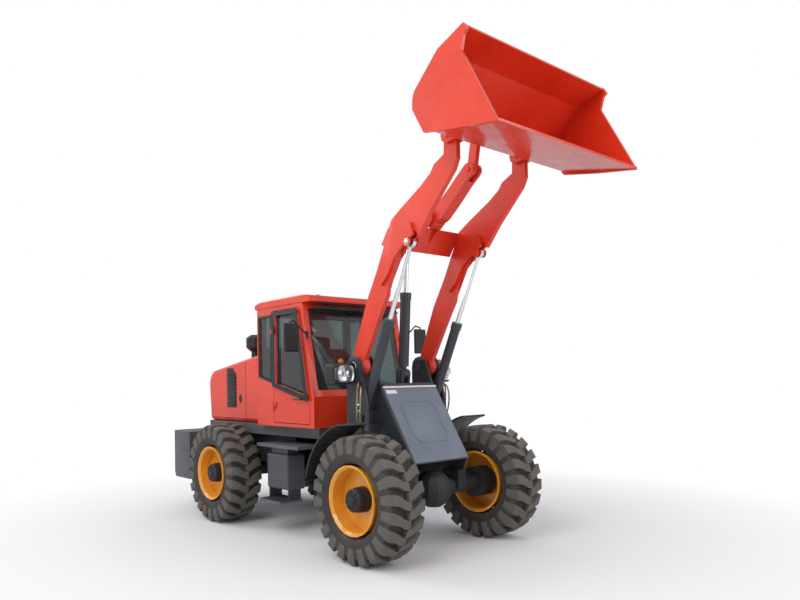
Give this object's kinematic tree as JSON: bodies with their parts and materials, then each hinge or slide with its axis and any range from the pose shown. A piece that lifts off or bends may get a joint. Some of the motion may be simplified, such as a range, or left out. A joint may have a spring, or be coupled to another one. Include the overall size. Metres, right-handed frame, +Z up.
{
  "type": "articulated wheel loader",
  "caption": "Articulated wheel loader with a cab, a raised lift arm with bucket and Z-bar linkage, and four equal wheels.",
  "frame": {"origin": "middle of the machine's box, on the ground", "axes": "+X forward (towards the bucket), +Y to the machine's left, +Z up"},
  "size_m": [5.915, 2.12, 4.43],
  "materials": {
    "red_paint": "gloss orange-red paint",
    "boom_paint": "satin red paint",
    "frame_paint": "satin dark grey paint",
    "weight_paint": "matt grey paint",
    "cylinder_paint": "satin near-black paint",
    "chrome": "polished rod",
    "tyre_rubber": "matt rubber",
    "rim_paint": "gloss amber paint",
    "black_plastic": "grained",
    "cab_glass": "clear safety glass",
    "cast_iron": "dark painted casting",
    "seat_vinyl": "black vinyl"
  },
  "bodies": {
    "rear_half": {"rear_frame": "frame_paint", "rear_axle": "cast_iron", "counterweight": "weight_paint", "engine_block": "cast_iron", "transmission_block": "cast_iron", "engine_hood": "red_paint", "cab_shell": "red_paint", "cab_roof": "red_paint", "windshield": "cab_glass", "rear_window": "cab_glass", "quarter_window_right": "cab_glass", "quarter_window_left": "cab_glass", "operator_seat": "seat_vinyl", "steering_console": "black_plastic", "fuel_tank": "frame_paint", "hydraulic_tank": "frame_paint", "air_precleaner": "black_plastic", "exhaust_pipe": "black_plastic", "mirror_right": "black_plastic", "mirror_left": "black_plastic"},
    "front_half": {"front_frame": "frame_paint", "front_axle": "cast_iron", "fender_right": "black_plastic", "fender_left": "black_plastic", "headlight_right": "black_plastic", "headlight_left": "black_plastic"},
    "boom_arm": {"boom": "boom_paint"},
    "rocker_arm": {"rocker": "boom_paint"},
    "link_arm": {"tilt_link": "boom_paint"},
    "bucket_body": {"bucket": "red_paint"},
    "tilt_cylinder": {"tilt_barrel": "cylinder_paint"},
    "tilt_piston": {"tilt_rod": "chrome"},
    "lift_cylinder_right": {"lift_barrel_right": "cylinder_paint"},
    "lift_piston_right": {"lift_rod_right": "chrome"},
    "steering_cylinder_right": {"steering_barrel_right": "cylinder_paint"},
    "steering_piston_right": {"steering_rod_right": "chrome"},
    "right_door": {"door_right": "red_paint", "door_glass_right": "cab_glass"},
    "front_right_wheel": {"front_right_tyre": "tyre_rubber", "front_right_rim": "rim_paint"},
    "rear_right_wheel": {"rear_right_tyre": "tyre_rubber", "rear_right_rim": "rim_paint"},
    "lift_cylinder_left": {"lift_barrel_left": "cylinder_paint"},
    "lift_piston_left": {"lift_rod_left": "chrome"},
    "steering_cylinder_left": {"steering_barrel_left": "cylinder_paint"},
    "steering_piston_left": {"steering_rod_left": "chrome"},
    "left_door": {"door_left": "red_paint", "door_glass_left": "cab_glass"},
    "front_left_wheel": {"front_left_tyre": "tyre_rubber", "front_left_rim": "rim_paint"},
    "rear_left_wheel": {"rear_left_tyre": "tyre_rubber", "rear_left_rim": "rim_paint"}
  },
  "joints": [
    {"name": "steering", "type": "hinge", "parent": "rear_half", "child": "front_half", "pos_m": [-0.1475, 0, 0.74], "axis": [0, 0, 1], "range_deg": [-35, 35]},
    {"name": "boom_lift", "type": "hinge", "parent": "front_half", "child": "boom_arm", "pos_m": [0.7285, 0, 1.838], "axis": [0, -1, 0], "range_deg": [-98, 0]},
    {"name": "bucket_tilt", "type": "hinge", "parent": "boom_arm", "child": "bucket_body", "pos_m": [2.0425, 0, 3.84], "axis": [0, 1, 0], "range_deg": [-105, 20]},
    {"name": "rocker_pivot", "type": "hinge", "parent": "boom_arm", "child": "rocker_arm", "pos_m": [1.3425, 0, 3.31], "axis": [0, 1, 0], "range_deg": [-8, 34]},
    {"name": "link_pivot", "type": "hinge", "parent": "rocker_arm", "child": "link_arm", "pos_m": [1.8575, 0, 3.665], "axis": [0, 1, 0], "range_deg": [-72, 15]},
    {"name": "lift_barrel_right_pivot", "type": "hinge", "parent": "front_half", "child": "lift_cylinder_right", "pos_m": [0.7975, -0.484, 1.42], "axis": [0, -1, 0], "range_deg": [-94, 0]},
    {"name": "lift_rod_right_slide", "type": "slide", "parent": "lift_cylinder_right", "child": "lift_piston_right", "axis": [0.4131, 0, 0.9107], "range_m": [-0.62, 0]},
    {"name": "steering_barrel_right_pivot", "type": "hinge", "parent": "rear_half", "child": "steering_cylinder_right", "pos_m": [-0.7275, -0.33, 0.72], "axis": [0, 0, 1], "range_deg": [-15, 15]},
    {"name": "steering_rod_right_slide", "type": "slide", "parent": "steering_cylinder_right", "child": "steering_piston_right", "axis": [0.9999, -0.0105, 0], "range_m": [-0.22, 0.22]},
    {"name": "door_right_hinge", "type": "hinge", "parent": "rear_half", "child": "right_door", "pos_m": [-0.5775, -0.715, 1.235], "axis": [0, 0, -1], "range_deg": [0, 95]},
    {"name": "front_right_wheel_spin", "type": "hinge", "parent": "front_half", "child": "front_right_wheel", "pos_m": [1.2225, -0.855, 0.595], "axis": [0, 1, 0], "continuous": true},
    {"name": "rear_right_wheel_spin", "type": "hinge", "parent": "rear_half", "child": "rear_right_wheel", "pos_m": [-1.5175, -0.855, 0.595], "axis": [0, 1, 0], "continuous": true},
    {"name": "lift_barrel_left_pivot", "type": "hinge", "parent": "front_half", "child": "lift_cylinder_left", "pos_m": [0.7975, 0.484, 1.42], "axis": [0, -1, 0], "range_deg": [-94, 0]},
    {"name": "lift_rod_left_slide", "type": "slide", "parent": "lift_cylinder_left", "child": "lift_piston_left", "axis": [0.4131, 0, 0.9107], "range_m": [-0.62, 0]},
    {"name": "steering_barrel_left_pivot", "type": "hinge", "parent": "rear_half", "child": "steering_cylinder_left", "pos_m": [-0.7275, 0.33, 0.72], "axis": [0, 0, 1], "range_deg": [-15, 15]},
    {"name": "steering_rod_left_slide", "type": "slide", "parent": "steering_cylinder_left", "child": "steering_piston_left", "axis": [0.9999, 0.0105, 0], "range_m": [-0.22, 0.22]},
    {"name": "door_left_hinge", "type": "hinge", "parent": "rear_half", "child": "left_door", "pos_m": [-0.5775, 0.715, 1.235], "axis": [0, 0, 1], "range_deg": [0, 95]},
    {"name": "front_left_wheel_spin", "type": "hinge", "parent": "front_half", "child": "front_left_wheel", "pos_m": [1.2225, 0.855, 0.595], "axis": [0, 1, 0], "continuous": true},
    {"name": "rear_left_wheel_spin", "type": "hinge", "parent": "rear_half", "child": "rear_left_wheel", "pos_m": [-1.5175, 0.855, 0.595], "axis": [0, 1, 0], "continuous": true},
    {"name": "tilt_barrel_pivot", "type": "hinge", "parent": "front_half", "child": "tilt_cylinder", "pos_m": [0.8525, 0, 1.76], "axis": [0, -1, 0], "range_deg": [-101, 0]},
    {"name": "tilt_rod_slide", "type": "slide", "parent": "tilt_cylinder", "child": "tilt_piston", "axis": [0.0717, 0, 0.9974], "range_m": [-0.15, 0]}
  ],
  "couplings": [
    {"joint": "rocker_pivot", "follows": "bucket_tilt", "ratio": -0.3131},
    {"joint": "link_pivot", "follows": "bucket_tilt", "ratio": 0.6759},
    {"joint": "lift_barrel_right_pivot", "follows": "boom_lift", "ratio": 0.95},
    {"joint": "lift_rod_right_slide", "follows": "boom_lift", "m_per_rad": 0.358},
    {"joint": "steering_barrel_right_pivot", "follows": "steering", "ratio": 0.384},
    {"joint": "steering_rod_right_slide", "follows": "steering", "m_per_rad": 0.33},
    {"joint": "lift_barrel_left_pivot", "follows": "boom_lift", "ratio": 0.95},
    {"joint": "lift_rod_left_slide", "follows": "boom_lift", "m_per_rad": 0.358},
    {"joint": "steering_barrel_left_pivot", "follows": "steering", "ratio": 0.384},
    {"joint": "steering_rod_left_slide", "follows": "steering", "m_per_rad": -0.33},
    {"joint": "tilt_barrel_pivot", "follows": "boom_lift", "ratio": 1.016},
    {"joint": "tilt_rod_slide", "follows": "boom_lift", "m_per_rad": 0.082}
  ]
}
